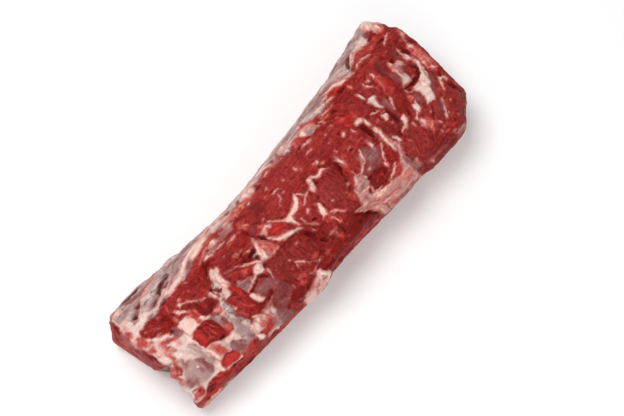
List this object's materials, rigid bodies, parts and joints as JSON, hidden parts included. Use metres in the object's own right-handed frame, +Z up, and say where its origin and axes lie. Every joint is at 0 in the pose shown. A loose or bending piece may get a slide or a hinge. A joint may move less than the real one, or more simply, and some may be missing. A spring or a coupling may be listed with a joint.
{
  "type": "boneless striploin",
  "caption": "Whole raw boneless striploin lying on its fat cap: muscle blocks, fat ridges and creases on the bone side, membrane on the flank slope, a cut face at each end.",
  "frame": {"origin": "on the surface the striploin rests on, under the middle of its bounding box", "axes": "+X along the loin from the near cut end to the far one, +Y towards the flank edge, -Y towards the chine edge, +Z up out of the bone side"},
  "size_m": [0.464, 0.1678, 0.0735],
  "materials": {
    "meat": "moist raw beef: dark red muscle with cream fat and grey-lilac membrane"
  },
  "bodies": {
    "root": {"striploin": "meat"}
  },
  "joints": []
}
